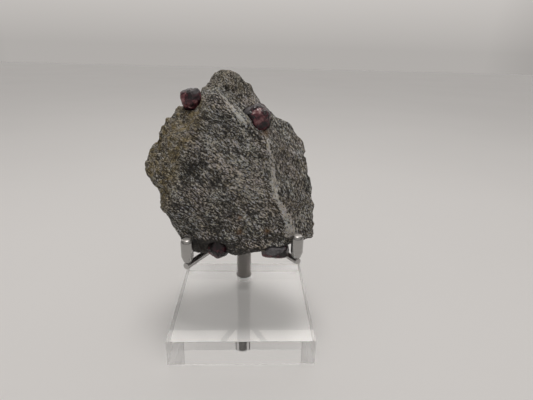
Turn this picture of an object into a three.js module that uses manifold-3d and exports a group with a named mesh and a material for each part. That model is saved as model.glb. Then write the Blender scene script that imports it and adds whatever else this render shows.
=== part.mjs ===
// A piece of garnet-bearing mica schist on a small display stand.
// Millimetres, +Z up, viewer towards -Y. The origin is the centre of the base's underside.
import * as THREE from 'three';
import { ConvexGeometry } from 'three/addons/geometries/ConvexGeometry.js';
import { ImprovedNoise } from 'three/addons/math/ImprovedNoise.js';
import { mergeVertices } from 'three/addons/utils/BufferGeometryUtils.js';
import Module from 'manifold-3d';

const wasm = await Module();
wasm.setup();

// Clearance between pieces that touch
const gap = 0.3;

// Clear base block
const baseSide = 50;
const baseHeight = 9.6;
const baseChamfer = 0.12;
const postHoleDepth = 4.6;
const postHoleChamfer = 0.7;

// Upright post that the stone leans back on
const postDiameter = 6;
const postY = 16.4;
const postTopZ = 54;
const postChamfer = 0.6;

// Arms: straight rods from the post to the two front fingers
const armDiameter = 2.2;
const armRootZ = 31.6;
const armOverrun = 1.1;
const armEnds = { left: [-17.8, -16, 33.5], right: [18, -14.4, 34.4] };

// Fingers: round pegs that taper to a foot on the arm's end
const fingerDiameter = 4;
const fingerFootDiameter = 2.8;
const fingerFootRise = 1.5;
const fingerTaper = 1.9;
const fingerHeight = 8.1;
const fingerChamfer = 0.6;

// Stone: its own frame has +X right, +Z up its leaning face and -Y towards the viewer
const stoneCentre = [-3, 1.5, 62.7];
const stoneLean = 21.5;
const stoneTurn = 2.5;
const stoneRoll = 1.5;
const stoneFrontDepth = 14.5;
const stoneBackDepth = 14.5;
const stoneFullness = 0.55;
const stoneRimSpread = 0.85;
const stoneCore = 0.68;
const stoneDetail = 16;
const outlineSteps = 12;

// Outline of the stone seen square to its face, clockwise from the top of the knob
const stoneOutline = [
  [-4.6, 29.5], [0.6, 29.1], [5, 27.2], [7.4, 24.6], [10.6, 20.6], [14.6, 17], [19, 14.2],
  [21.6, 11.2], [24.6, 6], [24.4, 2.8], [26.2, -5], [27.9, -11.5], [28.7, -18], [27.8, -23.6],
  [22.5, -29], [14, -32.6], [4, -32.6], [-6, -33.4], [-13.4, -32], [-17.6, -26.2], [-20.8, -20.4],
  [-24, -15.2], [-24.4, -10.4], [-27.4, -5.8], [-30.6, -1.4], [-30.4, 3.2], [-26.8, 7.8],
  [-25.2, 12.8], [-20.2, 19], [-14.8, 21.4], [-11.2, 25], [-8.4, 27.4],
];

// Flat faces that the stone broke along: a point on each face and its outward direction
const stoneFaces = [
  { name: 'front', through: [0, -9.6, -6], facing: [0.14, -1, -0.08] },
  { name: 'right', through: [14.5, -7.6, -8.6], facing: [0.52, -0.85, 0.04] },
  { name: 'upper right', through: [1.7, -10, 16.2], facing: [0.56, -0.7, 0.44] },
  { name: 'weathered left', through: [-15.5, -11.4, 5.2], facing: [-0.6, -0.77, 0.23] },
  { name: 'shoulder', through: [-13, -6, 20.5], facing: [-0.5, -0.7, 0.5] },
  { name: 'lower left', through: [-16.2, -6, -24.7], facing: [-0.5, -0.65, -0.57] },
  { name: 'lower right', through: [19, -3.4, -27.5], facing: [0.45, -0.7, -0.55] },
  { name: 'undercut', through: [-4, -7, -27.2], facing: [-0.08, -0.57, -0.81] },
  { name: 'bottom', through: [-14, -2, -31.1], facing: [0.1, 0.37, -0.92] },
  { name: 'back', through: [0, 13.4, 0], facing: [0.08, 1, -0.1] },
  { name: 'back left', through: [-16, 10, 0], facing: [-0.6, 0.8, 0.1] },
  { name: 'back right', through: [18, 10, -4], facing: [0.66, 0.75, 0] },
];
const faceSoftness = 0.45;
const faceRounding = 1.8;

// Hollows (positive depth) and swellings (negative depth) on the front
const stoneDents = [
  { at: [-17, -5], reach: 3.4, depth: 1.5 },
  { at: [-13.4, -1.6], reach: 3.6, depth: 2.2 },
  { at: [-9.6, 0.6], reach: 3.4, depth: 1.1 },
  { at: [-27, 1], reach: 5, depth: -1.6 },
  { at: [-20.5, 7.5], reach: 5, depth: -1.3 },
  { at: [3, 9], reach: 6, depth: -0.7 },
  { at: [-3, 23.6], reach: 3.6, depth: 1.2 },
  { at: [-3.5, 27.5], reach: 5, depth: -1.5 },
  { at: [-14, -22], reach: 5, depth: 1.1 },
  { at: [20, 2], reach: 5, depth: 0.9 },
  { at: [22, -25], reach: 4.5, depth: 1.4 },
];

// Rough surface: broad lumps, finer ones drawn out along the layers, and broken ledges
const lumpSize = 8;
const lumpHeight = 1.3;
const grainSize = 3;
const grainHeight = 0.9;
const grainStretch = 1.9;
const layerSlope = 35;
const ledgeSpacing = 5.6;
const ledgeHeight = 0.7;
const ledgeRise = 0.75;

// Garnet crystals, in the stone's frame; radius is to the flat faces, before the crystal's stretch
const even = [1, 1, 1];
const flat = [1.35, 1, 0.75];
const garnets = [
  { name: 'garnet_upper_left', at: [-13.7, -6, 21], radius: 3.2, turn: [20, 35, 12], stretch: even },
  { name: 'garnet_upper_right', at: [7.8, -5.4, 15], radius: 4.1, turn: [-15, 10, 40], stretch: even },
  { name: 'garnet_lower_left', at: [-4.9, -4.2, -27.9], radius: 3.1, turn: [40, -20, 15], stretch: even },
  { name: 'garnet_lower_right', at: [13.8, -2.4, -29.2], radius: 3.1, turn: [5, 50, -25], stretch: flat },
];
const garnetBevel = 1.07;

const roundSides = 32;
const noise = new ImprovedNoise();

const finish = (color, roughness, metalness) =>
  new THREE.MeshStandardMaterial({ color, roughness, metalness });
const acrylicFinish = finish(0xdde0e0, 0.05, 0);
acrylicFinish.transparent = true;
acrylicFinish.opacity = 0.4;

// Closed geometry with shared corners, from any three.js geometry
function welded(geometry) {
  const bare = geometry.clone();
  bare.deleteAttribute('normal');
  bare.deleteAttribute('uv');
  return mergeVertices(bare);
}

function toSolid(geometry) {
  const closed = welded(geometry);
  return new wasm.Manifold(new wasm.Mesh({
    numProp: 3,
    vertProperties: new Float32Array(closed.attributes.position.array),
    triVerts: new Uint32Array(closed.index.array),
  }));
}

function toGeometry(solid) {
  const mesh = solid.getMesh();
  const geometry = new THREE.BufferGeometry();
  geometry.setAttribute('position', new THREE.BufferAttribute(mesh.vertProperties, 3));
  geometry.setIndex(new THREE.BufferAttribute(mesh.triVerts, 1));
  geometry.computeVertexNormals();
  return geometry;
}

function piece(name, geometry, material) {
  const mesh = new THREE.Mesh(geometry, material);
  mesh.name = name;
  return mesh;
}

// Solid of revolution about Z from [radius, z] points, both ends on the axis
function turned(profile) {
  const points = profile.map(([radius, z]) => new THREE.Vector2(radius, z));
  return new THREE.LatheGeometry(points, roundSides).rotateX(Math.PI / 2);
}

function basePiece() {
  const half = baseSide / 2 - baseChamfer;
  const square = new THREE.Shape();
  square.moveTo(-half, -half);
  square.lineTo(half, -half);
  square.lineTo(half, half);
  square.lineTo(-half, half);
  square.closePath();
  const block = new THREE.ExtrudeGeometry(square, {
    depth: baseHeight - 2 * baseChamfer,
    bevelSize: baseChamfer,
    bevelThickness: baseChamfer,
    bevelSegments: 1,
  }).translate(0, 0, baseChamfer);
  const holeRadius = postDiameter / 2 + gap;
  const hole = turned([
    [0, baseHeight - postHoleDepth],
    [holeRadius, baseHeight - postHoleDepth],
    [holeRadius, baseHeight - postHoleChamfer],
    [holeRadius + 2 * postHoleChamfer, baseHeight + postHoleChamfer],
    [0, baseHeight + postHoleChamfer],
  ]).translate(0, postY, 0);
  return piece('base', toGeometry(toSolid(block).subtract(toSolid(hole))), acrylicFinish);
}

function postPiece() {
  const radius = postDiameter / 2;
  const footZ = baseHeight - postHoleDepth + gap;
  const rod = turned([
    [0, footZ],
    [radius, footZ],
    [radius, postTopZ - postChamfer],
    [radius - postChamfer, postTopZ],
    [0, postTopZ],
  ]).translate(0, postY, 0);
  return piece('post', rod, finish(0xa9a7a3, 0.3, 1));
}

// Round rod between two points
function rodBetween(start, end, diameter) {
  const along = end.clone().sub(start);
  const rod = new THREE.CylinderGeometry(diameter / 2, diameter / 2, along.length(), roundSides / 2);
  const upright = new THREE.Vector3(0, 1, 0);
  rod.applyQuaternion(new THREE.Quaternion().setFromUnitVectors(upright, along.clone().normalize()));
  return rod.translate(...start.clone().add(end).multiplyScalar(0.5).toArray());
}

// A straight rod that rises from the post to just past the finger's axis
function armPiece(side) {
  const start = new THREE.Vector3(0, postY, armRootZ);
  const end = new THREE.Vector3(...armEnds[side]);
  const outward = end.clone().sub(start).normalize();
  start.addScaledVector(outward, postDiameter / 2 + gap);
  end.addScaledVector(outward, armOverrun);
  return piece(`arm_${side}`, rodBetween(start, end, armDiameter), finish(0xb5b3af, 0.25, 1));
}

function fingerPiece(side) {
  const radius = fingerDiameter / 2;
  const peg = turned([
    [0, 0],
    [fingerFootDiameter / 2, 0],
    [radius, fingerTaper],
    [radius, fingerHeight - fingerChamfer],
    [radius - fingerChamfer, fingerHeight],
    [0, fingerHeight],
  ]).translate(...armEnds[side]).translate(0, 0, fingerFootRise);
  return piece(`finger_${side}`, peg, finish(0xbab8b4, 0.25, 1));
}

// Distance from the stone's centre to its outline, for an angle in the face's plane
function outlineReach() {
  const corners = stoneOutline.map(([x, z]) => new THREE.Vector3(x, 0, z));
  const curve = new THREE.CatmullRomCurve3(corners, true, 'centripetal');
  const samples = curve.getPoints(stoneOutline.length * outlineSteps).map((point) => ({
    angle: Math.atan2(point.z, point.x),
    reach: Math.hypot(point.x, point.z),
  }));
  samples.sort((one, two) => one.angle - two.angle);
  return (angle) => {
    const next = samples.findIndex((sample) => sample.angle > angle);
    const after = samples[Math.max(next, 0)];
    const before = samples.at(next - 1);
    const turn = 2 * Math.PI;
    const span = (after.angle - before.angle + turn) % turn || 1;
    const share = ((angle - before.angle + turn) % turn) / span;
    return THREE.MathUtils.lerp(before.reach, after.reach, share);
  };
}

const reachAt = outlineReach();

// Cushion shape with the stone's outline, from a point of the unit sphere
function cushionPoint(unit) {
  const angle = Math.atan2(unit.z, unit.x);
  const rim = reachAt(angle) * Math.hypot(unit.x, unit.z) ** stoneRimSpread;
  const deep = unit.y < 0 ? -stoneFrontDepth : stoneBackDepth;
  const depth = deep * Math.abs(unit.y) ** stoneFullness;
  return new THREE.Vector3(rim * Math.cos(angle), depth, rim * Math.sin(angle));
}

const roundedMin = (a, b, rounding) => (a + b - Math.hypot(a - b, rounding)) / 2;

// How far a line from a point inside runs before it meets a broken face
function runToFace(start, along, face) {
  const facing = new THREE.Vector3(...face.facing);
  const rate = facing.dot(along);
  const room = facing.dot(new THREE.Vector3(...face.through).sub(start));
  return rate > 0 ? room / rate : Infinity;
}

function dentDepth(point, dent) {
  const away = Math.hypot(point.x - dent.at[0], point.z - dent.at[1]) / dent.reach;
  return point.y < 0 ? dent.depth * Math.exp(-away * away) : 0;
}

// Height of the broken surface at a point; the layers slope down to the right
function roughness(point) {
  const slope = THREE.MathUtils.degToRad(layerSlope);
  const along = point.x * Math.cos(slope) - point.z * Math.sin(slope);
  const across = point.x * Math.sin(slope) + point.z * Math.cos(slope);
  const lump = noise.noise(point.x / lumpSize, point.y / lumpSize, point.z / lumpSize);
  const fine = noise.noise(along / grainSize / grainStretch, point.y / grainSize, across / grainSize);
  const layer = across / ledgeSpacing + lump;
  const step = layer - Math.floor(layer);
  const ledge = Math.min(step / ledgeRise, (1 - step) / (1 - ledgeRise)) - 0.5;
  return lump * lumpHeight + fine * grainHeight + ledge * ledgeHeight;
}

// Point of the stone's surface on a line from a flat core out to the cushion
function surfacePoint(unit) {
  const cushion = cushionPoint(unit);
  const core = new THREE.Vector3(cushion.x * stoneCore, 0, cushion.z * stoneCore);
  const along = cushion.clone().sub(core);
  const length = along.length();
  along.divideScalar(length);
  const run = stoneFaces.reduce((reach, face) => {
    const limit = runToFace(core, along, face);
    return limit < reach + faceRounding ? roundedMin(reach, limit, faceSoftness) : reach;
  }, length);
  const broken = core.clone().addScaledVector(along, run);
  const dent = stoneDents.reduce((depth, each) => depth + dentDepth(broken, each), 0);
  return core.addScaledVector(along, run + roughness(broken) - dent);
}

function stoneGeometry() {
  const stone = welded(new THREE.IcosahedronGeometry(1, stoneDetail));
  const places = stone.attributes.position;
  const unit = new THREE.Vector3();
  for (let i = 0; i < places.count; i += 1) {
    unit.fromBufferAttribute(places, i);
    places.setXYZ(i, ...surfacePoint(unit).toArray());
  }
  return stone;
}

// Rhombic dodecahedron with its edges bevelled by the faces of a trapezohedron
function garnetGeometry(garnet, growth) {
  const radius = garnet.radius + growth;
  const signs = [-1, 1];
  const spread = (x, y, z) => signs.flatMap((a) => signs.flatMap((b) => signs.flatMap((c) => [
    new THREE.Vector3(a * x, b * y, c * z),
    new THREE.Vector3(a * z, b * x, c * y),
    new THREE.Vector3(a * y, b * z, c * x),
  ])));
  const tip = Math.SQRT2 * radius;
  const dodecahedron = [...spread(tip, 0, 0), ...spread(tip / 2, tip / 2, tip / 2)];
  const bevel = Math.sqrt(6) * garnetBevel * radius;
  const trapezohedron = [
    ...spread(bevel / 2, 0, 0),
    ...spread(bevel / 3, bevel / 3, 0),
    ...spread(bevel / 4, bevel / 4, bevel / 4),
  ];
  const crystal = toSolid(new ConvexGeometry(dodecahedron))
    .intersect(toSolid(new ConvexGeometry(trapezohedron)));
  const angles = garnet.turn.map((angle) => THREE.MathUtils.degToRad(angle));
  const turn = new THREE.Matrix4().makeRotationFromEuler(new THREE.Euler(...angles));
  return toGeometry(crystal).applyMatrix4(turn).scale(...garnet.stretch).translate(...garnet.at);
}

// The schist, with a pocket for each crystal
function matrixPiece() {
  const growth = (garnet) => gap / Math.min(...garnet.stretch);
  const pockets = garnets.map((garnet) => toSolid(garnetGeometry(garnet, growth(garnet))));
  const schist = pockets.reduce((stone, pocket) => stone.subtract(pocket), toSolid(stoneGeometry()));
  return piece('matrix', toGeometry(schist), finish(0x66625d, 0.75, 0));
}

function stoneGroup() {
  const radians = [-stoneLean, -stoneRoll, -stoneTurn].map((angle) => THREE.MathUtils.degToRad(angle));
  const group = new THREE.Group();
  group.rotation.set(...radians, 'ZXY');
  group.position.set(...stoneCentre);
  group.add(matrixPiece());
  garnets.forEach((garnet) => {
    group.add(piece(garnet.name, garnetGeometry(garnet, 0), finish(0x4a1620, 0.3, 0)));
  });
  return group;
}

const specimen = new THREE.Group();
specimen.add(basePiece(), postPiece());
Object.keys(armEnds).forEach((side) => specimen.add(armPiece(side), fingerPiece(side)));
specimen.add(stoneGroup());

export default specimen;
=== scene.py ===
import math

import bmesh
import bpy
import numpy as np
from mathutils import Matrix, Vector


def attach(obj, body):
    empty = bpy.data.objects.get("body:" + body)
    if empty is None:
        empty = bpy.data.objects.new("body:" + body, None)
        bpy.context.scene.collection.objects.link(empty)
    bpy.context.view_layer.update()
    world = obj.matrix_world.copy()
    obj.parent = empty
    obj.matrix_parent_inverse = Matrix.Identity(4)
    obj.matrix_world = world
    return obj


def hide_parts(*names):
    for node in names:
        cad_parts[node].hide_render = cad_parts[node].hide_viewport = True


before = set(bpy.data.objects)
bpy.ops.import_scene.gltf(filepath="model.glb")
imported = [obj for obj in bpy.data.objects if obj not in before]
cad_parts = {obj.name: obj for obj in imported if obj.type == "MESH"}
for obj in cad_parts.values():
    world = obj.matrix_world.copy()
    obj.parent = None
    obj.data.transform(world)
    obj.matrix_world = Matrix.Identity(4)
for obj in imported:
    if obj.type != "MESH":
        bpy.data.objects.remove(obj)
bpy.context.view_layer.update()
mm = 0.001
noiseSpan = (0.3, 0.7)  # where most of a noise texture's values lie
print("frame loaded:", len(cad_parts), "nodes")


# Node helpers

def grey(level):
    return (level, level, level, 1)


def feed(tree, socket, value):
    # a socket takes a link or a plain value
    if isinstance(value, bpy.types.NodeSocket):
        tree.links.new(value, socket)
    else:
        socket.default_value = value


def addNode(tree, kind, inputs=None, **settings):
    node = tree.nodes.new(kind)
    for name, value in settings.items():
        setattr(node, name, value)
    for name, value in (inputs or {}).items():
        feed(tree, node.inputs[name], value)
    return node


def compute(tree, operation, first, second=0.0, third=0.0, clamp=False):
    inputs = {0: first, 1: second, 2: third}
    return addNode(tree, "ShaderNodeMath", inputs, operation=operation, use_clamp=clamp).outputs[0]


def lean(tree, value, field, weight, middle=0.5):
    # shifts a value by how far a field stands from its middle
    away = compute(tree, "SUBTRACT", field, middle)
    return compute(tree, "MULTIPLY_ADD", away, weight, value)


def spread(tree, value, low, high, start=0.0, end=1.0):
    inputs = {"Value": value, "From Min": low, "From Max": high, "To Min": start, "To Max": end}
    return addNode(tree, "ShaderNodeMapRange", inputs).outputs["Result"]


def vectorCompute(tree, operation, first, second):
    return addNode(tree, "ShaderNodeVectorMath", {0: first, 1: second}, operation=operation).outputs[0]


def vectorOf(tree, x, y, z):
    return addNode(tree, "ShaderNodeCombineXYZ", {"X": x, "Y": y, "Z": z}).outputs[0]


def axisValues(tree, vector):
    return addNode(tree, "ShaderNodeSeparateXYZ", {0: vector}).outputs


def sized(tree, place, size):
    # places counted in cells of one size
    return vectorCompute(tree, "DIVIDE", place, vectorOf(tree, size, size, size))


def objectPlaces(tree):
    return addNode(tree, "ShaderNodeTexCoord").outputs["Object"]


def noiseField(tree, vector, scale, detail, **more):
    inputs = {"Vector": vector, "Scale": scale, "Detail": detail, **more}
    return addNode(tree, "ShaderNodeTexNoise", inputs).outputs


def cellField(tree, vector, scale=1.0):
    return addNode(tree, "ShaderNodeTexVoronoi", {"Vector": vector, "Scale": scale}).outputs


def maskNode(tree, name):
    return addNode(tree, "ShaderNodeAttribute", attribute_name=name).outputs["Fac"]


def mixColour(tree, share, first, second, blend="MIX"):
    inputs = {0: share, 6: first, 7: second}
    return addNode(tree, "ShaderNodeMix", inputs, data_type="RGBA", blend_type=blend).outputs[2]


def ramp(tree, value, stops):
    node = addNode(tree, "ShaderNodeValToRGB", {"Fac": value})
    elements = node.color_ramp.elements
    while len(elements) < len(stops):
        elements.new(0.5)
    for element, (place, colour) in zip(elements, stops):
        element.position = place
        element.color = (*colour, 1)
    return node.outputs["Color"]


def addBump(tree, shader, height, strength, depth):
    inputs = {"Height": height, "Strength": strength, "Distance": depth * mm}
    tree.links.new(addNode(tree, "ShaderNodeBump", inputs).outputs[0], shader.inputs["Normal"])


def newMaterial(name):
    material = bpy.data.materials.new(name)
    material.use_nodes = True
    tree = material.node_tree
    tree.nodes.clear()
    shader = tree.nodes.new("ShaderNodeBsdfPrincipled")
    output = tree.nodes.new("ShaderNodeOutputMaterial")
    tree.links.new(shader.outputs["BSDF"], output.inputs["Surface"])
    return material, tree, shader


def newGroup(name, kind, inputs, outputs):
    tree = bpy.data.node_groups.new(name, kind)
    for label, socketType, value in inputs:
        socket = tree.interface.new_socket(label, in_out="INPUT", socket_type=socketType)
        if value is not None:
            socket.default_value = value
    for label, socketType in outputs:
        tree.interface.new_socket(label, in_out="OUTPUT", socket_type=socketType)
    return tree, tree.nodes.new("NodeGroupInput").outputs, tree.nodes.new("NodeGroupOutput").inputs


def geometryTree(name, sizes, others=()):
    inputs = [("Geometry", "NodeSocketGeometry", None), ("Material", "NodeSocketMaterial", None), *others]
    inputs += [(label, "NodeSocketFloat", value) for label, value in sizes.items()]
    return newGroup(name, "GeometryNodeTree", inputs, [("Geometry", "NodeSocketGeometry")])


def pushOut(tree, geometry, height):
    normal = addNode(tree, "GeometryNodeInputNormal").outputs[0]
    shift = addNode(tree, "ShaderNodeVectorMath", {0: normal, "Scale": height}, operation="SCALE")
    inputs = {"Geometry": geometry, "Offset": shift.outputs[0]}
    return addNode(tree, "GeometryNodeSetPosition", inputs).outputs[0]


def finishTree(tree, given, result, geometry):
    solid = addNode(tree, "GeometryNodeRealizeInstances", {0: geometry}).outputs[0]
    clad = addNode(tree, "GeometryNodeSetMaterial", {"Geometry": solid, "Material": given["Material"]})
    tree.links.new(clad.outputs[0], result["Geometry"])
    return tree


# Mesh helpers

mergeDistance = 0.002  # mm


def newObject(name, mesh):
    piece = bpy.data.objects.new(name, mesh)
    bpy.context.scene.collection.objects.link(piece)
    return piece


def settle(piece):
    # the modifiers' result becomes the piece's own plain mesh
    graph = bpy.context.evaluated_depsgraph_get()
    mesh = bpy.data.meshes.new_from_object(piece.evaluated_get(graph))
    piece.modifiers.clear()
    piece.data = mesh


def nodesModifier(piece, tree, values):
    modifier = piece.modifiers.new(tree.name, "NODES")
    modifier.node_group = tree
    for item in tree.interface.items_tree:
        if item.in_out == "INPUT" and item.name in values:
            modifier[item.identifier] = values[item.name]


def mergedCopy(node, name):
    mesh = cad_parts[node].data.copy()
    work = bmesh.new()
    work.from_mesh(mesh)
    bmesh.ops.remove_doubles(work, verts=work.verts, dist=mergeDistance * mm)
    work.to_mesh(mesh)
    work.free()
    mesh.materials.clear()
    return newObject(name, mesh)


def vertexValues(mesh, name):
    values = np.empty(len(mesh.vertices) * 3)
    mesh.vertices.foreach_get(name, values)
    return values.reshape(-1, 3)


def writeMask(mesh, name, values):
    layer = mesh.attributes.new(name, "FLOAT", "POINT")
    layer.data.foreach_set("value", values.astype(np.float32))


def dress(piece, material, node):
    piece.data.materials.clear()
    piece.data.materials.append(material)
    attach(piece, "root")
    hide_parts(node)


# Camera

view = {
    "position": (2.5, -126.9, 100.6),  # mm
    "yaw": 2.55,  # degrees
    "pitch": 21.56,
    "roll": 1.52,
    "sensor": 36,  # mm
    "lens": 26.07,
    "nearest": 5,
}


def makeCamera():
    data = bpy.data.cameras.new("camera")
    data.sensor_width = view["sensor"]
    data.lens = view["lens"]
    data.clip_start = view["nearest"] * mm
    camera = newObject("camera", data)
    yaw = Matrix.Rotation(math.radians(-view["yaw"]), 4, "Z")
    pitch = Matrix.Rotation(math.radians(90 - view["pitch"]), 4, "X")
    roll = Matrix.Rotation(math.radians(view["roll"]), 4, "Z")
    camera.matrix_world = Matrix.Translation(Vector(view["position"]) * mm) @ yaw @ pitch @ roll
    bpy.context.scene.camera = camera


makeCamera()
print("camera placed")


# Floor and light

stage = {
    "floorSize": 4000,  # mm
    "floorColour": 0.8,
    "floorMottle": 0.01,
    "floorMottleScale": 6.0,
    "floorRoughness": 0.6,
    "floorDrop": 0.03,  # air gap under the base, mm
    "warmth": (1, 0.955, 0.915),  # colour of all light
    "horizonLight": 0.79,
    "zenithLight": 0.5,
    # the surround is dimmer on the viewer's side, at both sides and near the horizon
    "viewerSideLight": 0.6,
    "viewerSide": (-1.0, -0.3),
    "sideLight": 0.4,
    "sides": (0.5, 0.85),
    "hazeLight": 0.55,
    "hazeTop": 0.25,
    "lampAim": (0, 0, 40),  # mm
    "lamps": [
        {"name": "overhead", "at": (0, 20, 640), "size": (200, 200), "power": 1.06, "glossyOnly": False},
        {"name": "back card", "at": (0, 330, 370), "size": (1300, 100), "power": 0.82,
         "glossyOnly": True},
    ],
}


def floorMaterial():
    material, tree, shader = newMaterial("floor")
    mottle = noiseField(tree, objectPlaces(tree), stage["floorMottleScale"], 2.0)[0]
    darkest = stage["floorColour"] - stage["floorMottle"]
    palest = stage["floorColour"] + stage["floorMottle"]
    tree.links.new(spread(tree, mottle, *noiseSpan, darkest, palest), shader.inputs["Base Color"])
    shader.inputs["Roughness"].default_value = stage["floorRoughness"]
    return material


def makeFloor():
    half = stage["floorSize"] / 2 * mm
    drop = -stage["floorDrop"] * mm
    mesh = bpy.data.meshes.new("floor")
    corners = [(-half, -half, drop), (half, -half, drop), (half, half, drop), (-half, half, drop)]
    mesh.from_pydata(corners, [], [(0, 1, 2, 3)])
    mesh.materials.append(floorMaterial())
    newObject("floor", mesh)


def makeLamp(lamp):
    data = bpy.data.lights.new(lamp["name"], "AREA")
    data.shape = "RECTANGLE"
    data.size, data.size_y = (side * mm for side in lamp["size"])
    data.energy = lamp["power"]
    data.color = stage["warmth"]
    light = newObject(lamp["name"], data)
    light.location = Vector(lamp["at"]) * mm
    aim = Vector(stage["lampAim"]) * mm - light.location
    light.rotation_euler = aim.to_track_quat("-Z", "Y").to_euler()
    light.visible_diffuse = not lamp["glossyOnly"]
    light.visible_transmission = not lamp["glossyOnly"]


def makeSurround():
    world = bpy.data.worlds.new("surround")
    world.use_nodes = True
    tree = world.node_tree
    background = tree.nodes["Background"]
    background.inputs["Color"].default_value = (*stage["warmth"], 1)
    toward = axisValues(tree, addNode(tree, "ShaderNodeTexCoord").outputs["Generated"])
    level = spread(tree, toward["Z"], 0.0, 1.0, stage["horizonLight"], stage["zenithLight"])
    dimmed = spread(tree, toward["Y"], *stage["viewerSide"], stage["viewerSideLight"], 1.0)
    haze = spread(tree, toward["Z"], 0.0, stage["hazeTop"], stage["hazeLight"], 1.0)
    across = compute(tree, "ABSOLUTE", toward["X"])
    aside = spread(tree, across, *stage["sides"], 1.0, stage["sideLight"])
    for share in (dimmed, haze, aside):
        level = compute(tree, "MULTIPLY", level, share)
    tree.links.new(level, background.inputs["Strength"])
    world.cycles.sampling_method = "NONE"
    bpy.context.scene.world = world


makeFloor()
for lamp in stage["lamps"]:
    makeLamp(lamp)
makeSurround()
bpy.context.scene.view_settings.view_transform = "Standard"
bpy.context.scene.cycles.blur_glossy = 0
print("stage and lamps placed")


# Stand

steel = {
    "lineSize": 0.12,  # mm
    "lineStretch": 30,
    "lineDepth": 0.02,
    "lineStrength": 0.15,
    "lineShade": 0.85,
    # painted highlight on the finger tops and the post's foot in the block, partly the tops' own as-cut
    # finish
    "endFinishAndHighlightColour": (0.6, 0.59, 0.575, 1),  # of a rod's as-cut end
    "cutRoughness": 0.4,
    "sides": 72,
    "sharpAngle": 35,  # degrees
}


def steelMaterial(name, rod, endHeights=None):
    # a rod's paler as-cut end begins at the first height and is full at the second, in mm; its pale colour
    # is painted highlight, on the finger tops partly also their own as-cut finish
    material, tree, shader = newMaterial(name)
    place = objectPlaces(tree)
    size = steel["lineSize"] * mm
    scale = (size * steel["lineStretch"], size * steel["lineStretch"], size)
    lines = addNode(tree, "ShaderNodeMapping", {"Vector": place, "Scale": scale}, vector_type="TEXTURE")
    brushed = noiseField(tree, lines.outputs[0], 1.0, 4.0)[0]
    rough = spread(tree, brushed, *noiseSpan, *rod["roughness"])
    dull = tuple(steel["lineShade"] * channel for channel in rod["colour"])
    tint = ramp(tree, brushed, list(zip(noiseSpan, (dull, rod["colour"]))))
    if endHeights:
        end = spread(tree, axisValues(tree, place)["Z"], endHeights[0] * mm, endHeights[1] * mm)
        tint = mixColour(tree, end, tint, steel["endFinishAndHighlightColour"])
        rough = compute(tree, "MULTIPLY_ADD", end, steel["cutRoughness"], rough, clamp=True)
    tree.links.new(rough, shader.inputs["Roughness"])
    tree.links.new(tint, shader.inputs["Base Color"])
    shader.inputs["Metallic"].default_value = 1
    addBump(tree, shader, brushed, steel["lineStrength"], steel["lineDepth"])
    return material


def turnedPiece(name, profile, placing):
    # round body from (radius, height) points in mm, closed at both ends
    sides = steel["sides"]
    work = bmesh.new()
    rings = []
    for radius, height in profile:
        ring = []
        for step in range(sides):
            angle = 2 * math.pi * step / sides
            point = Vector((radius * math.cos(angle), radius * math.sin(angle), height))
            ring.append(work.verts.new((placing @ point) * mm))
        rings.append(ring)
    for lower, upper in zip(rings, rings[1:]):
        for step in range(sides):
            after = (step + 1) % sides
            work.faces.new((lower[step], lower[after], upper[after], upper[step]))
    work.faces.new(rings[0][::-1])
    work.faces.new(rings[-1])
    mesh = bpy.data.meshes.new(name)
    work.to_mesh(mesh)
    work.free()
    mesh.shade_smooth()
    mesh.set_sharp_from_angle(angle=math.radians(steel["sharpAngle"]))
    return newObject(name, mesh)


def roundedEdge(radius, height, edge, up):
    # quarter circle between a round side and a flat end
    steps = 4
    points = []
    for step in range(steps + 1):
        angle = math.pi / 2 * step / steps
        inset = edge * (1 - math.cos(angle))
        points.append((radius - inset, height + up * edge * (math.sin(angle) - 1)))
    return points if up > 0 else points[::-1]


def rodProfile(radius, foot, top, edges):
    return roundedEdge(radius, foot, edges[0], -1) + roundedEdge(radius, top, edges[1], 1)


block = {
    "side": 50,  # mm
    "height": 9.6,
    "edge": 0.05,
    "holeDepth": 4.6,
    "holeFlare": 0.2,
    "holeGap": 0.04,
    "ior": 1.49,
    "tints": [(0.0, (0.97, 0.98, 0.98)), (1.0, (0.99, 0.99, 0.99))],
    "scuffSize": 2.5,  # mm
    "scuffSpan": (0.5, 0.75),
    "roughest": 0.02,
    "lampTint": 1.0,
    "sawnRoughness": 0.3,  # of the satin left and right sides
    # painted shade: the grey tint darkens the satin sides and the bands seen along them
    "sideShadeTint": 0.86,
    # the back takes this share of the satin and of its painted shade
    "backShare": 0.4,  # how satin the back is
    "sideStart": 0.999,  # share of the half side past which a face is a side
}
post = {
    "at": (0, 16.4),  # mm
    "foot": 5.3,
    "top": 54,
    "radius": 3,
    "edges": (0.2, 0.6),  # foot and top
    # the pale foot is a painted highlight
    "cut": (0.2, 0.4),  # depths in the block where the pale foot begins and is full
    "colour": (0.3, 0.282, 0.268),
    "roughness": (0.16, 0.24),
}


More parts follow.
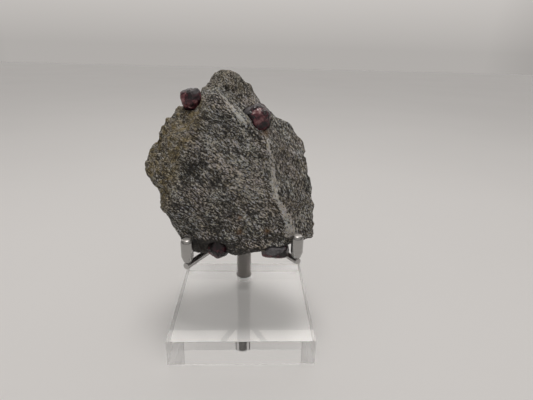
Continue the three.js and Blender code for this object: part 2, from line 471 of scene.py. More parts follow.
def acrylicMaterial():
    material, tree, shader = newMaterial("clear acrylic")
    scuffs = noiseField(tree, objectPlaces(tree), 1 / (block["scuffSize"] * mm), 6.0)[0]
    satinAndShade = maskNode(tree, "satinAndShade")
    rough = spread(tree, scuffs, *block["scuffSpan"], 0.0, block["roughest"])
    rough = compute(tree, "MULTIPLY_ADD", satinAndShade, block["sawnRoughness"], rough)
    tree.links.new(rough, shader.inputs["Roughness"])
    # painted shade: the satin faces take a grey tint
    tint = mixColour(tree, satinAndShade, ramp(tree, scuffs, block["tints"]), grey(block["sideShadeTint"]))
    tree.links.new(tint, shader.inputs["Base Color"])
    shader.inputs["IOR"].default_value = block["ior"]
    shader.inputs["Transmission Weight"].default_value = 1
    # lamp light goes straight on through the block
    lampRay = addNode(tree, "ShaderNodeLightPath").outputs["Is Shadow Ray"]
    passed = addNode(tree, "ShaderNodeBsdfTransparent", {"Color": grey(block["lampTint"])})
    both = {0: lampRay, 1: shader.outputs[0], 2: passed.outputs[0]}
    joined = addNode(tree, "ShaderNodeMixShader", both)
    output = next(node for node in tree.nodes if node.type == "OUTPUT_MATERIAL")
    tree.links.new(joined.outputs[0], output.inputs["Surface"])
    return material


def writeSatinAndShade(mesh):
    # satin left and right sides, their grey tint a painted shade, and a little of both at the back
    satinAndShade = mesh.attributes.new("satinAndShade", "FLOAT", "FACE")
    edge = block["sideStart"] * block["side"] / 2 * mm
    for face, share in zip(mesh.polygons, satinAndShade.data):
        back = block["backShare"] if face.center.y > edge else 0
        share.value = 1 if abs(face.center.x) > edge else back


def makeBlock():
    half = block["side"] / 2 * mm
    top = block["height"]
    work = bmesh.new()
    bmesh.ops.create_cube(work, size=1)
    for vertex in work.verts:
        across, along, up = vertex.co
        vertex.co = (across * 2 * half, along * 2 * half, (up + 0.5) * top * mm)
    mesh = bpy.data.meshes.new("clear_block")
    work.to_mesh(mesh)
    work.free()
    piece = newObject("clear_block", mesh)
    bevel = piece.modifiers.new("broken edges", "BEVEL")
    bevel.width = block["edge"] * mm
    radius = post["radius"] + block["holeGap"]
    flare = block["holeFlare"]
    profile = [(radius, top - block["holeDepth"]), (radius, top - flare)]
    profile += [(radius + flare, top), (radius + 2 * flare, top + flare)]
    hole = turnedPiece("post_hole", profile, Matrix.Translation((*post["at"], 0)))
    cut = piece.modifiers.new("post hole", "BOOLEAN")
    cut.object = hole
    settle(piece)
    bpy.data.objects.remove(hole)
    writeSatinAndShade(piece.data)
    dress(piece, acrylicMaterial(), "base")


def makePost():
    profile = rodProfile(post["radius"], post["foot"], post["top"], post["edges"])
    piece = turnedPiece("support_post", profile, Matrix.Translation((*post["at"], 0)))
    # the pale foot stands for the bright ring round the post in the block: painted highlight
    foot = [block["height"] - depth for depth in post["cut"]]
    dress(piece, steelMaterial("post steel", post, foot), "post")


arms = {
    "root": 31.6,  # mm, height at the post
    "gap": 0.3,
    "overrun": 1.1,
    "radius": 1.1,
    "edges": (0.1, 0.2),  # root and tip
    "tips": {"left": (-17.8, -16, 33.5), "right": (18, -14.4, 34.4)},
    "colour": (0.5, 0.49, 0.48),
    "roughness": (0.2, 0.32),
}


def makeArm(side):
    root = Vector((*post["at"], arms["root"]))
    run = Vector(arms["tips"][side]) - root
    start = post["radius"] + arms["gap"]
    profile = rodProfile(arms["radius"], start, run.length + arms["overrun"], arms["edges"])
    along = run.normalized()
    placing = Matrix.Translation(root) @ along.to_track_quat("Z", "Y").to_matrix().to_4x4()
    arm = turnedPiece("support_arm_" + side, profile, placing)
    dress(arm, steelMaterial(side + " arm steel", arms), "arm_" + side)


fingers = {
    "rise": 1.5,  # mm, foot above the arm's tip
    "height": 8.1,
    "radius": 2,
    "footRadius": 1.4,
    "footEdge": 0.12,
    "taper": 1.9,
    "shoulder": (0.06, 0.2),
    "dome": 1.3,
    "cutShare": 0.25,  # of the dome
    "cutFade": 0.3,
    "colour": (0.44, 0.432, 0.42),
    "roughness": (0.12, 0.2),
}


def makeFinger(side):
    across, along, tip = arms["tips"][side]
    foot = tip + fingers["rise"]
    radius = fingers["radius"]
    inset, drop = fingers["shoulder"]
    profile = roundedEdge(fingers["footRadius"], 0, fingers["footEdge"], -1)
    profile += [(radius - inset, fingers["taper"] - drop), (radius, fingers["taper"])]
    profile += roundedEdge(radius, fingers["height"], fingers["dome"], 1)
    finger = turnedPiece("support_finger_" + side, profile, Matrix.Translation((across, along, foot)))
    # the paler top is partly a painted highlight
    cut = foot + fingers["height"] - fingers["cutShare"] * fingers["dome"]
    finish = steelMaterial(side + " finger steel", fingers, (cut, cut + fingers["cutFade"]))
    dress(finger, finish, "finger_" + side)


makeBlock()
makePost()
for side in arms["tips"]:
    makeArm(side)
    makeFinger(side)
print("stand dressed")


# Schist

rock = {
    "centre": (-3, 1.5, 62.7),  # mm, as the solid stands
    "lean": 21.5,  # degrees
    "turn": 2.5,
    "roll": 1.5,
    "layerSlope": 35,
    "steepLayerSlope": 67,
    "voxel": 0.36,  # mm
    "smoothing": 5,
    "relief": {
        "Lump Size": 2.4 * mm,
        "Lump Height": 0.5 * mm,
        "Plate Size": 0.9 * mm,
        "Plate Height": 0.22 * mm,
        "Ledge Spacing": 3.0 * mm,
        "Ledge Height": 0.4 * mm,
        "Grain Size": 0.7 * mm,
        "Grain Height": 0.1 * mm,
        "Stretch": 2.2,
        "Sink": 0.1 * mm,
    },
    # how far the ledges wander, in ledges, how steeply they break off, and the height left as it is
    "ledges": {"wanderScale": 0.5, "wander": 2.2, "steepness": 4.0, "middle": 0.4},
    # paths and spots on the stone's face, mm right and up from its centre
    "marks": {
        "paleBands": [  # each point with the band's half width there
            [(-3.2, 21.1, 0.4), (-0.4, 17.7, 0.6), (2.9, 13.4, 0.7), (4.4, 11.4, 0.4)],
            [(11.5, 7.5, 0.5), (11.8, 2.7, 0.6), (13.1, -2.1, 0.7), (13.3, -7.9, 0.7), (14.4, -12.3, 0.9),
             (16.6, -15.9, 1.1), (18.3, -19.4, 1.6), (19.2, -22.6, 1.9)],
        ],
        "weatheredEdge": [(-24, -20), (-19.7, -12.1), (-17.1, -4.2), (-13.1, 3.6), (-9.9, 9.8),
                          (-8.3, 16), (-9, 22)],
        "steepEdge": [(24, -30), (21.8, -22.5), (18.2, -16), (15.4, -12.3), (14, -7.9), (13.8, -2.1),
                      (12.4, 2.7), (12, 7.5), (10, 14)],
        "ledge": [(-24, -23), (-13.6, -24.7), (-2.5, -24.6), (2.2, -27.5), (17.1, -28.1), (28, -27)],
        "clefts": [  # each point with the cleft's half width there
            [(-15.6, -6.4, 1.2), (-12.9, -1.9, 1.9), (-8.6, 0.6, 1.0)],
            [(3.4, 12.2, 0.3), (5.4, 10.3, 0.8), (7.6, 8.6, 0.9), (9, 6.6, 0.4)],
        ],
        # broad bands of painted sheen and painted shade, each point with the half width there
        "paintedSheen": [(-6.3, 4.3, 2.5), (-1.4, -1, 3), (4, -5.7, 3.2), (8.1, -11.1, 3), (10.7, -16.7, 2.5)],
        "paintedShadeBand": [(-14.6, -0.7, 1.8), (-8.4, -4.8, 3), (-3.5, -7.5, 2.5)],
        "rust": [(10.7, 9.9, 1.2), (2, -22.4, 0.8), (2.3, -17.9, 0.6), (11.1, -22.2, 0.8)],
        "swellings": [(-0.6, 29.2, 3.8, 1.8), (-26, 8, 1.6, -1.5)],  # across, up, radius, rise
        "cleftShare": 0.65,
        "paintedSheenShare": 0.7,
    },
    # where each mask begins and is full: mm, or half widths of a band, cleft or painted sheen and shade
    # band
    "maskEdges": {
        "behind": (2, 6),
        "pale": (0.5, 1.5),
        "weathered": (-2.5, 3),
        "weatheredTop": (19, 24),
        "steep": (-1.7, -1.1),
        "under": (-0.3, 0.6),
        "underDepth": (8, 12),
        "cleft": (0.3, 1.6),
        "knob": (22.5, 25.5),
        "low": (8, 17),
        "sheenAndShade": (0.4, 1.8),
    },
    "grains": {"wanderScale": 1.3, "wander": 0.45},
    "looks": {
        "coarse": 0.34,  # grain sizes in mm
        "fine": 0.25,
        "coarseStretch": 2.7,
        "fineStretch": 1.9,
        "patchSize": (4.0, 3.2, 2.6),  # along and across the layers, mm
        "streakSize": (6.0, 1.0, 0.7),
        "ribbonSize": (1.8, 0.6, 0.45),
        "ribbonWidth": 0.11,
        "driftSize": (8.0, 6.0, 5.0),
        "blotchSize": 2.0,
        "foldSize": 11.0,
        "foldHeight": 3.2,
        "steepCalm": 0.2,
        "calmTone": 0.47,
        "paleLift": 0.76,
        "paleGrain": 1.1,
        "paleStreak": 1.4,
        "paleEdge": (0.32, 0.9),
        "paleRim": 0.3,
        "greys": [(0.2, (0.016, 0.015, 0.014)), (0.38, (0.05, 0.047, 0.044)), (0.54, (0.13, 0.124, 0.113)),
                  (0.68, (0.27, 0.263, 0.249)), (0.84, (0.56, 0.555, 0.535))],
        "browns": [(0.2, (0.023, 0.018, 0.01)), (0.42, (0.088, 0.068, 0.034)), (0.6, (0.168, 0.131, 0.062)),
                   (0.82, (0.31, 0.25, 0.13))],
        "grainTints": [(0.1, (1.07, 1.02, 0.88)), (0.5, (1.0, 1.0, 1.0)), (0.9, (0.94, 0.98, 1.13))],
        "drift": [(0.36, (1.03, 0.97, 0.94)), (0.64, (0.98, 1.01, 1.0))],
        "rustColour": (0.26, 0.125, 0.035, 1),
        # each a field's low and high, and the share or roughness at them
        "weatheredBlotch": (0.38, 0.58, 0.2, 1.0),
        "knobBlotch": (0.35, 0.65, 0.1, 0.6),
        "stainedGrain": (0.55, 1.0, 0.0, 0.55),
        "rustGrain": (0.2, 0.8, 0.2, 0.8),
        "roughness": (0.5, 1.0, 0.8, 0.4),
        "bumpHeight": 0.16,  # mm
        "bumpStrength": 0.9,
    },
    # what each field and mask adds to the stone's tone and to its bump; the sheen-and-shade mask adds
    # painted sheen and painted shade, the shade mask painted shade in the undercut and clefts
    "fieldWeights": {"coarse": 0.56, "fine": 0.74, "patch": 0.65, "streaks": 0.75, "ribbon": 0.2},
    "ground": -0.115,  # shifts the whole tone
    "ribbonGround": -0.115,  # evens out what the ribbons add
    "maskWeights": {"low": -0.11, "sheenAndShade": 0.13, "weathered": -0.015, "paintedShade": -0.34},
    "bumpWeights": {"coarse": 0.6, "fine": 0.4, "ribbon": 0.35},
}

stoneTurn = (
    Matrix.Rotation(math.radians(-rock["turn"]), 4, "Z")
    @ Matrix.Rotation(math.radians(-rock["lean"]), 4, "X")
    @ Matrix.Rotation(math.radians(-rock["roll"]), 4, "Y")
)
stonePlacing = Matrix.Translation(Vector(rock["centre"]) * mm) @ stoneTurn


def layerTurn(slope):
    return (stoneTurn @ Matrix.Rotation(math.radians(slope), 4, "Y")).to_euler()


def facePlaces(mesh):
    # millimetres across, behind and up from the middle of the stone's face
    placing = np.array(stonePlacing.inverted())
    return (vertexValues(mesh, "co") @ placing[:3, :3].T + placing[:3, 3]) / mm


def pathDistance(flat, path):
    # in half widths of the band along the path
    nearest = np.full(len(flat), np.inf)
    for start, end in zip(path, path[1:]):
        begin = np.array(start[:2])
        run = np.subtract(end[:2], begin)
        share = np.clip((flat - begin) @ run / (run @ run), 0, 1)
        width = start[2] + share * (end[2] - start[2])
        away = np.linalg.norm(flat - begin - share[:, None] * run, axis=1)
        nearest = np.minimum(nearest, away / width)
    return nearest


def eased(value, low, high):
    share = np.clip((value - low) / (high - low), 0, 1)
    return share * share * (3 - 2 * share)


def edgeAt(path, height):
    across, heights = np.array(sorted(path, key=lambda point: point[1])).T
    return np.interp(height, heights, across)


def stoneMasks(places):
    marks = rock["marks"]
    across, depth, height = places.T
    flat = places[:, [0, 2]]

    def mask(name, value):
        return eased(value, *rock["maskEdges"][name])

    def along(name, path):
        return 1 - mask(name, pathDistance(flat, path))

    front = 1 - mask("behind", depth)
    pale = np.clip(sum(along("pale", band) for band in marks["paleBands"]), 0, 1)
    weathered = mask("weathered", edgeAt(marks["weatheredEdge"], height) - across)
    steep = mask("steep", across - edgeAt(marks["steepEdge"], height)) * front
    ledge = np.interp(across, *zip(*marks["ledge"]))
    under = mask("under", ledge - height) * (1 - mask("underDepth", depth))
    clefts = sum(along("cleft", path) for path in marks["clefts"])
    cleft = marks["cleftShare"] * front * clefts
    rust = np.zeros(len(places))
    for x, z, radius in marks["rust"]:
        rust += np.exp(-((across - x) ** 2 + (height - z) ** 2) / radius ** 2)
    light = marks["paintedSheenShare"] * along("sheenAndShade", marks["paintedSheen"])
    return {
        # painted sheen along one broad band, painted shade along another
        "sheenAndShade": (light - along("sheenAndShade", marks["paintedShadeBand"])) * front,
        "pale": pale * front,
        "weathered": weathered * (1 - mask("weatheredTop", height)),
        "steep": steep,
        # painted shade, darkening the undercut below the ledge and the clefts
        "paintedShade": np.clip(under + cleft, 0, 1),
        "rust": np.clip(rust * front, 0, 1),
        "knob": mask("knob", height),
        "low": mask("low", -height) * (1 - steep) * front * (1 - pale),
    }


def swell(mesh):
    places = facePlaces(mesh)
    amount = np.zeros(len(places))
    for across, up, radius, rise in rock["marks"]["swellings"]:
        away = (places[:, 0] - across) ** 2 + (places[:, 2] - up) ** 2
        amount += rise * mm * np.exp(-away / radius ** 2)
    moved = vertexValues(mesh, "co") + vertexValues(mesh, "normal") * amount[:, None]
    mesh.vertices.foreach_set("co", moved.ravel())


def reliefTree():
    layers = ("Layers", "NodeSocketVector", None)
    tree, given, result = geometryTree("schistRelief", rock["relief"], [layers])
    place = addNode(tree, "GeometryNodeInputPosition").outputs[0]
    turn = {"Vector": place, "Rotation": given["Layers"]}
    turned = addNode(tree, "ShaderNodeVectorRotate", turn, rotation_type="EULER_XYZ", invert=True)
    stretch = vectorOf(tree, given["Stretch"], 1.0, 1.0)
    layered = vectorCompute(tree, "DIVIDE", turned.outputs[0], stretch)
    lump = noiseField(tree, sized(tree, layered, given["Lump Size"]), 1.0, 3.0)[0]
    plate = cellField(tree, sized(tree, layered, given["Plate Size"]))["Color"]
    grain = noiseField(tree, sized(tree, layered, given["Grain Size"]), 1.0, 2.0)[0]
    height = compute(tree, "MULTIPLY", given["Sink"], -1.0)
    height = lean(tree, height, lump, given["Lump Height"])
    height = lean(tree, height, axisValues(tree, plate)[0], given["Plate Height"])
    height = lean(tree, height, grain, given["Grain Height"])
    # ledges rise slowly across the layers and break off
    step = sized(tree, layered, given["Ledge Spacing"])
    wander = noiseField(tree, step, rock["ledges"]["wanderScale"], 2.0)[0]
    layer = compute(tree, "MULTIPLY_ADD", wander, rock["ledges"]["wander"], axisValues(tree, step)["Z"])
    rise = compute(tree, "FRACT", layer)
    fall = compute(tree, "MULTIPLY", compute(tree, "SUBTRACT", 1.0, rise), rock["ledges"]["steepness"])
    ledge = compute(tree, "MINIMUM", rise, fall)
    height = lean(tree, height, ledge, given["Ledge Height"], rock["ledges"]["middle"])
    return finishTree(tree, given, result, pushOut(tree, given["Geometry"], height))


def grainGroup():
    # stretched mineral grains, each with its own shade and tint
    inputs = [("Vector", "NodeSocketVector", None)]
    inputs += [("Size", "NodeSocketFloat", 1.0), ("Stretch", "NodeSocketFloat", 2.0)]
    outputs = [(name, "NodeSocketFloat") for name in ("Shade", "Tint", "Height")]
    tree, given, result = newGroup("grainField", "ShaderNodeTree", inputs, outputs)
    size = given["Size"]
    length = compute(tree, "MULTIPLY", size, given["Stretch"])
    scaled = vectorCompute(tree, "DIVIDE", given["Vector"], vectorOf(tree, length, size, size))
    wander = noiseField(tree, scaled, rock["grains"]["wanderScale"], 2.0)["Color"]
    bend = vectorCompute(tree, "MULTIPLY", wander, (rock["grains"]["wander"],) * 3)
    cells = cellField(tree, vectorCompute(tree, "ADD", scaled, bend))
    shade = addNode(tree, "ShaderNodeSeparateColor", {0: cells["Color"]}).outputs
    tree.links.new(shade[0], result["Shade"])
    tree.links.new(shade[2], result["Tint"])
    tree.links.new(compute(tree, "SUBTRACT", shade[1], cells["Distance"]), result["Height"])
    return tree


grainField = grainGroup()


def grainNode(tree, vector, size, stretch):
    inputs = {"Vector": vector, "Size": size, "Stretch": stretch}
    return addNode(tree, "ShaderNodeGroup", inputs, node_tree=grainField).outputs


def layerPlaces(tree, place, steep):
    # millimetres along and across the schist's layers, which stand steeper on the right face
    looks = rock["looks"]
    both = []
    for slope in (rock["layerSlope"], rock["steepLayerSlope"]):
        mapping = {"Vector": place, "Rotation": layerTurn(slope), "Scale": (mm, mm, mm)}
        both.append(addNode(tree, "ShaderNodeMapping", mapping, vector_type="TEXTURE").outputs[0])
    choice = {0: compute(tree, "GREATER_THAN", steep, 0.5), 4: both[0], 5: both[1]}
    flat = addNode(tree, "ShaderNodeMix", choice, data_type="VECTOR").outputs[1]
    folds = noiseField(tree, flat, 1 / looks["foldSize"], 1.0)["Color"]
    shift = vectorCompute(tree, "SUBTRACT", folds, (0.5, 0.5, 0.5))
    shift = vectorCompute(tree, "MULTIPLY", shift, (looks["foldHeight"],) * 3)
    return vectorCompute(tree, "ADD", flat, shift)


def schistTone(tree, fields, steep):
    looks = rock["looks"]
    weights = rock["fieldWeights"]
    coarse = fields["coarse"]["Shade"]
    tone = compute(tree, "MULTIPLY", fields["fine"]["Shade"], weights["fine"])
    tone = compute(tree, "MULTIPLY_ADD", coarse, weights["coarse"], tone)
    tone = compute(tree, "ADD", tone, rock["ground"])
    tone = lean(tree, tone, fields["patch"], weights["patch"])
    tone = lean(tree, tone, fields["streaks"], weights["streaks"])
    tone = compute(tree, "ADD", tone, rock["ribbonGround"])
    tone = compute(tree, "MULTIPLY_ADD", fields["ribbon"], weights["ribbon"], tone)
    calm = compute(tree, "MULTIPLY", steep, looks["steepCalm"])
    toCalm = compute(tree, "SUBTRACT", looks["calmTone"], tone)
    tone = compute(tree, "MULTIPLY_ADD", toCalm, calm, tone)
    # the pale bands are broken up grain by grain
    band = maskNode(tree, "pale")
    pale = lean(tree, band, coarse, looks["paleGrain"])
    pale = lean(tree, pale, fields["streaks"], looks["paleStreak"])
    pale = spread(tree, pale, *looks["paleEdge"])
    pale = compute(tree, "MULTIPLY", pale, spread(tree, band, 0.0, looks["paleRim"]))
    tone = compute(tree, "MULTIPLY_ADD", pale, looks["paleLift"], tone)
    for name, weight in rock["maskWeights"].items():
        tone = compute(tree, "MULTIPLY_ADD", maskNode(tree, name), weight, tone)
    return tone


def schistMaterial():
    looks = rock["looks"]
    material, tree, shader = newMaterial("mica schist")
    place = objectPlaces(tree)
    steep = maskNode(tree, "steep")
    layers = layerPlaces(tree, place, steep)

    def layerNoise(size, detail):
        cells = vectorCompute(tree, "DIVIDE", layers, looks[size])
        return noiseField(tree, cells, 1.0, detail)[0]

    coarse = grainNode(tree, layers, looks["coarse"], looks["coarseStretch"])
    fine = grainNode(tree, layers, looks["fine"], looks["fineStretch"])
    ribbon = compute(tree, "ABSOLUTE", compute(tree, "SUBTRACT", layerNoise("ribbonSize", 1.0), 0.5))
    ribbon = spread(tree, ribbon, 0.0, looks["ribbonWidth"], 1.0, 0.0)
    fields = {
        "coarse": coarse,
        "fine": fine,
        "ribbon": ribbon,
        "patch": layerNoise("patchSize", 4.0),
        "streaks": layerNoise("streakSize", 3.0),
    }
    tone = schistTone(tree, fields, steep)
    drift = ramp(tree, layerNoise("driftSize", 2.0), looks["drift"])
    greys = mixColour(tree, 1.0, ramp(tree, tone, looks["greys"]), drift, "MULTIPLY")
    tints = ramp(tree, fine["Tint"], looks["grainTints"])
    greys = mixColour(tree, 1.0, greys, tints, "MULTIPLY")
    # brown where the rock is weathered, on the knob and in single stained grains
    blotch = noiseField(tree, place, 1 / (looks["blotchSize"] * mm), 4.0)[0]
    brown = spread(tree, coarse["Tint"], *looks["stainedGrain"])
    for name in ("weathered", "knob"):
        blotched = spread(tree, blotch, *looks[name + "Blotch"])
        share = compute(tree, "MULTIPLY", maskNode(tree, name), blotched)
        brown = compute(tree, "MAXIMUM", brown, share)
    colour = mixColour(tree, brown, greys, ramp(tree, tone, looks["browns"]))
    rust = spread(tree, fine["Shade"], *looks["rustGrain"])
    rust = compute(tree, "MULTIPLY", maskNode(tree, "rust"), rust)
    colour = mixColour(tree, rust, colour, looks["rustColour"])
    tree.links.new(colour, shader.inputs["Base Color"])
    rough = spread(tree, fine["Shade"], *looks["roughness"])
    tree.links.new(rough, shader.inputs["Roughness"])
    weights = rock["bumpWeights"]
    height = compute(tree, "MULTIPLY", fine["Height"], weights["fine"])
    height = compute(tree, "MULTIPLY_ADD", coarse["Height"], weights["coarse"], height)
    height = compute(tree, "MULTIPLY_ADD", ribbon, weights["ribbon"], height)
    addBump(tree, shader, height, looks["bumpStrength"], looks["bumpHeight"])
    return material


def makeSchist():
    piece = mergedCopy("matrix", "schist")
    remesh = piece.modifiers.new("even skin", "REMESH")
    remesh.mode = "VOXEL"
    remesh.voxel_size = rock["voxel"] * mm
    smooth = piece.modifiers.new("soften", "SMOOTH")
    smooth.iterations = rock["smoothing"]
    settle(piece)
    swell(piece.data)
    material = schistMaterial()
    values = {**rock["relief"], "Layers": layerTurn(rock["layerSlope"]), "Material": material}
    nodesModifier(piece, reliefTree(), values)
    settle(piece)
    piece.data.shade_smooth()
    for name, mask in stoneMasks(facePlaces(piece.data)).items():
        writeMask(piece.data, name, mask)
    dress(piece, material, "matrix")
    return piece


schist = makeSchist()
print("schist:", len(schist.data.polygons), "faces")


# Mica flakes that lie loose-edged on the schist

mica = {
    "inputs": {
        "Spacing": 0.8 * mm,
        "Smallest": 0.25 * mm,
        "Largest": 0.62 * mm,
        "Thickness": 0.06 * mm,
        "Tilt": math.radians(28),
    },
    "seed": 4,
    "plain": 0.17,  # share of the places that get a flake
    "pale": 0.65,
    # fewer flakes where shade is painted
    "paintedShade": -0.15,
    "density": 2.0e6,  # flakes a square metre at most
    "sides": 6,
    "narrowness": 0.6,
    "glintScale": 0.9,  # patches a mm
    "glintSpan": (0.35, 0.65),
    "dullColour": (0.14, 0.1344, 0.126),
    "brightColour": (0.5, 0.485, 0.46),
    "roughness": (0.5, 0.22),  # dull and bright
}


def flakeTree():
    seed = ("Seed", "NodeSocketInt", mica["seed"])
    tree, given, result = geometryTree("micaFlakes", mica["inputs"], [seed])
    share = mica["plain"]
    for name in ("paintedShade", "pale"):
        mask = addNode(tree, "GeometryNodeInputNamedAttribute", {"Name": name}, data_type="FLOAT")
        share = compute(tree, "MULTIPLY_ADD", mask.outputs[0], mica[name], share)
    scatter = {
        "Mesh": given["Geometry"],
        "Distance Min": given["Spacing"],
        "Density Max": mica["density"],
        "Density Factor": compute(tree, "ADD", share, 0.0, clamp=True),
        "Seed": given["Seed"],
    }
    points = addNode(tree, "GeometryNodeDistributePointsOnFaces", scatter, distribute_method="POISSON")
    plate = addNode(tree, "GeometryNodeMeshCylinder",
                    {"Vertices": mica["sides"], "Radius": 0.5, "Depth": 1.0})
    tilt = given["Tilt"]
    back = compute(tree, "MULTIPLY", tilt, -1.0)
    turns = {
        "Min": vectorOf(tree, back, back, 0.0),
        "Max": vectorOf(tree, tilt, tilt, math.pi),
        "Seed": given["Seed"],
    }
    turn = addNode(tree, "FunctionNodeRandomValue", turns, data_type="FLOAT_VECTOR").outputs[0]
    lying = {"Rotation": points.outputs["Rotation"], "Rotate By": turn}
    turned = addNode(tree, "FunctionNodeRotateRotation", lying, rotation_space="LOCAL").outputs[0]
    wide = addNode(tree, "FunctionNodeRandomValue", data_type="FLOAT")
    floats = [socket for socket in wide.inputs if socket.type == "VALUE"]
    tree.links.new(given["Smallest"], floats[0])
    tree.links.new(given["Largest"], floats[1])
    width = wide.outputs[1]
    narrow = compute(tree, "MULTIPLY", width, mica["narrowness"])
    flakes = {
        "Points": points.outputs[0],
        "Instance": plate.outputs[0],
        "Rotation": turned,
        "Scale": vectorOf(tree, width, narrow, given["Thickness"]),
    }
    laid = addNode(tree, "GeometryNodeInstanceOnPoints", flakes).outputs[0]
    return finishTree(tree, given, result, laid)


def flakeMaterial():
    material, tree, shader = newMaterial("mica flakes")
    glint = noiseField(tree, objectPlaces(tree), mica["glintScale"] / mm, 3.0)[0]
    span = mica["glintSpan"]
    colour = ramp(tree, glint, list(zip(span, (mica["dullColour"], mica["brightColour"]))))
    tree.links.new(colour, shader.inputs["Base Color"])
    rough = spread(tree, glint, *span, *mica["roughness"])
    tree.links.new(rough, shader.inputs["Roughness"])
    return material


def makeFlakes():
    flakes = newObject("mica_flakes", schist.data.copy())
    values = {**mica["inputs"], "Seed": mica["seed"], "Material": flakeMaterial()}
    nodesModifier(flakes, flakeTree(), values)
    settle(flakes)
    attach(flakes, "root")
    return flakes


flakes = makeFlakes()
print("mica flakes:", len(flakes.data.polygons), "faces")


# Garnets

garnets = {
    "wear": {
        "Lump Size": 1.7 * mm,
        "Lump Height": 0.5 * mm,
        "Flaw Size": 0.9 * mm,
        "Flaw Depth": 0.2 * mm,
    },
    "growth": 1.06,  # closes the gap round each crystal
    "bevel": 0.8,  # mm
    "bevelSteps": 2,
    "bevelAngle": 12,  # degrees
    "skinLevels": 3,
    "flawMiddle": 0.6,
    "patchSize": 1.9,  # mm
    "patchRoughness": 0.6,
    "patchDistortion": 0.6,
    "patchShare": 0.5,
    "splinterSize": 2.3,  # mm
    "splinterShare": 0.5,
    # the palest stop is a painted glint, the others are the crystal's own reds
    "redsAndGlints": [(0.24, (0.006, 0.004, 0.005)), (0.4, (0.022, 0.006, 0.01)), (0.52, (0.07, 0.014, 0.022)),
             (0.64, (0.16, 0.055, 0.062)), (0.78, (0.3, 0.16, 0.16)), (0.92, (0.6, 0.54, 0.5))],
    "coatColour": (0.102, 0.097, 0.104, 1),
    "coatShades": (0.5, 1.5),
    "coatStretch": 1.2,
    "coatWander": 1.6,
    "coatScale": 0.7,
    "coatEdge": 0.2,
    "coatRoughness": 0.2,
    "roughness": (0.1, 0.4),
    "ior": 1.78,
    "specular": 0.25,
    "bumpSplinters": 0.7,
    "bumpStrength": 0.7,
    "bumpHeight": 0.16,  # mm
    # the side of each crystal that its mica coat hides, where along it the coat begins, in radii,
    # and how much darker than clear red the crystal is
    "coats": {
        "garnet_upper_left": {"toward": (0, 0, 1), "start": 0.5, "depth": 0.01},
        "garnet_upper_right": {"toward": (-0.7, 0, 0.7), "start": 0.6, "depth": 0.08},
        "garnet_lower_left": {"toward": (0, 0, -1), "start": 0.8, "depth": 0.14},
        "garnet_lower_right": {"toward": (-0.3, 0, 1), "start": 0.12, "depth": 0.0},
    },
}


def crystalTree():
    tree, given, result = geometryTree("crystalWear", garnets["wear"])
    place = addNode(tree, "GeometryNodeInputPosition").outputs[0]
    lump = noiseField(tree, sized(tree, place, given["Lump Size"]), 1.0, 2.0)[0]
    flaw = cellField(tree, sized(tree, place, given["Flaw Size"]))["Color"]
    height = lean(tree, 0.0, lump, given["Lump Height"])
    height = lean(tree, height, axisValues(tree, flaw)[0], given["Flaw Depth"], garnets["flawMiddle"])
    return finishTree(tree, given, result, pushOut(tree, given["Geometry"], height))


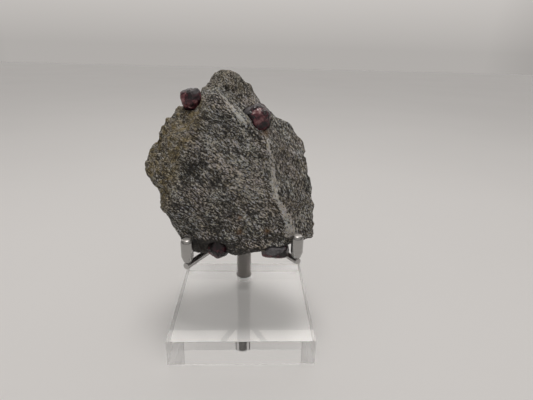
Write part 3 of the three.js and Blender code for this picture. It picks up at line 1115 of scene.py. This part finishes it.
def garnetMaterial(name, coat):
    material, tree, shader = newMaterial(name)
    place = objectPlaces(tree)
    scale = 1 / (garnets["patchSize"] * mm)
    more = {"Roughness": garnets["patchRoughness"], "Distortion": garnets["patchDistortion"]}
    mottle = noiseField(tree, place, scale, 5.0, **more)
    bent = vectorCompute(tree, "MULTIPLY", mottle["Color"], (mm, mm, mm))
    bent = vectorCompute(tree, "ADD", place, bent)
    splinters = cellField(tree, bent, 1 / (garnets["splinterSize"] * mm))["Color"]
    shades = addNode(tree, "ShaderNodeSeparateColor", {0: splinters}).outputs
    tone = compute(tree, "MULTIPLY", spread(tree, mottle[0], *noiseSpan), garnets["patchShare"])
    tone = compute(tree, "MULTIPLY_ADD", shades[0], garnets["splinterShare"], tone)
    tone = compute(tree, "SUBTRACT", tone, coat["depth"])
    # painted glints where the tone runs palest
    redsAndGlints = ramp(tree, tone, garnets["redsAndGlints"])
    # the mica coat has a ragged edge and the schist's fine grain
    film = noiseField(tree, place, garnets["coatScale"] * scale, 5.0)[0]
    reach = lean(tree, maskNode(tree, "coat"), film, garnets["coatWander"])
    share = spread(tree, reach, coat["start"], coat["start"] + garnets["coatEdge"])
    millimetres = vectorCompute(tree, "DIVIDE", place, (mm, mm, mm))
    grains = grainNode(tree, millimetres, rock["looks"]["fine"], garnets["coatStretch"])
    coatShade = spread(tree, grains["Shade"], 0.0, 1.0, *garnets["coatShades"])
    coating = mixColour(tree, 1.0, garnets["coatColour"], coatShade, "MULTIPLY")
    tree.links.new(mixColour(tree, share, redsAndGlints, coating), shader.inputs["Base Color"])
    rough = spread(tree, shades[1], 0.0, 1.0, *garnets["roughness"])
    rough = compute(tree, "MULTIPLY_ADD", share, garnets["coatRoughness"], rough)
    tree.links.new(rough, shader.inputs["Roughness"])
    shader.inputs["IOR"].default_value = garnets["ior"]
    shader.inputs["Specular IOR Level"].default_value = garnets["specular"]
    height = compute(tree, "MULTIPLY_ADD", shades[2], garnets["bumpSplinters"], mottle[0])
    addBump(tree, shader, height, garnets["bumpStrength"], garnets["bumpHeight"])
    return material


def coatMask(mesh, centre, toward):
    away = vertexValues(mesh, "co") - np.array(centre)
    radius = np.linalg.norm(away, axis=1).max()
    return away @ np.array(toward, float) / radius


def makeGarnet(node, tree):
    piece = mergedCopy(node, node.replace("garnet", "crystal"))
    corners = [vertex.co.copy() for vertex in piece.data.vertices]
    centre = sum(corners, Vector()) / len(corners)
    for vertex, corner in zip(piece.data.vertices, corners):
        vertex.co = centre + (corner - centre) * garnets["growth"]
    bevel = piece.modifiers.new("worn edges", "BEVEL")
    bevel.width = garnets["bevel"] * mm
    bevel.segments = garnets["bevelSteps"]
    bevel.limit_method = "ANGLE"
    bevel.angle_limit = math.radians(garnets["bevelAngle"])
    dense = piece.modifiers.new("dense skin", "SUBSURF")
    dense.subdivision_type = "SIMPLE"
    dense.levels = garnets["skinLevels"]
    dense.render_levels = garnets["skinLevels"]
    coat = garnets["coats"][node]
    material = garnetMaterial(node + " red", coat)
    nodesModifier(piece, tree, {**garnets["wear"], "Material": material})
    settle(piece)
    piece.data.shade_smooth()
    writeMask(piece.data, "coat", coatMask(piece.data, centre, coat["toward"]))
    dress(piece, material, node)


wear = crystalTree()
for node in garnets["coats"]:
    makeGarnet(node, wear)
print("garnets placed")
